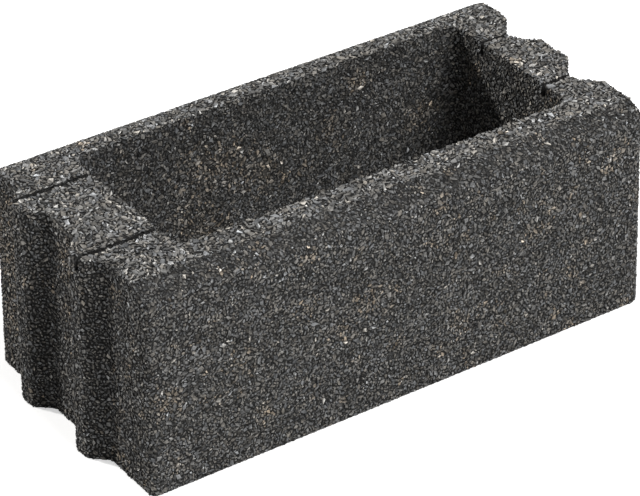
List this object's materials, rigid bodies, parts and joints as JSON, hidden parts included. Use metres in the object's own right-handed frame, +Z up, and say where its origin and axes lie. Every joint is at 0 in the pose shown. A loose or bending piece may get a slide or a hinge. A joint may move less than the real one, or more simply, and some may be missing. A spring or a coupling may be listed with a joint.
{
  "type": "concrete wall block",
  "caption": "Hollow concrete wall block with upright tongues on one end, matching grooves on the other and an open cavity that is filled with poured concrete.",
  "frame": {"origin": "middle of the box round the whole block, on the foot plane", "axes": "+Z up as laid, +X from the tongue end to the groove end, +Y from the thicker front wall, which the picture shows, to the back wall"},
  "size_m": [0.5156, 0.24, 0.19],
  "materials": {
    "concrete": "rough, open-textured"
  },
  "bodies": {
    "root": {"wall_block": "concrete"}
  },
  "joints": []
}
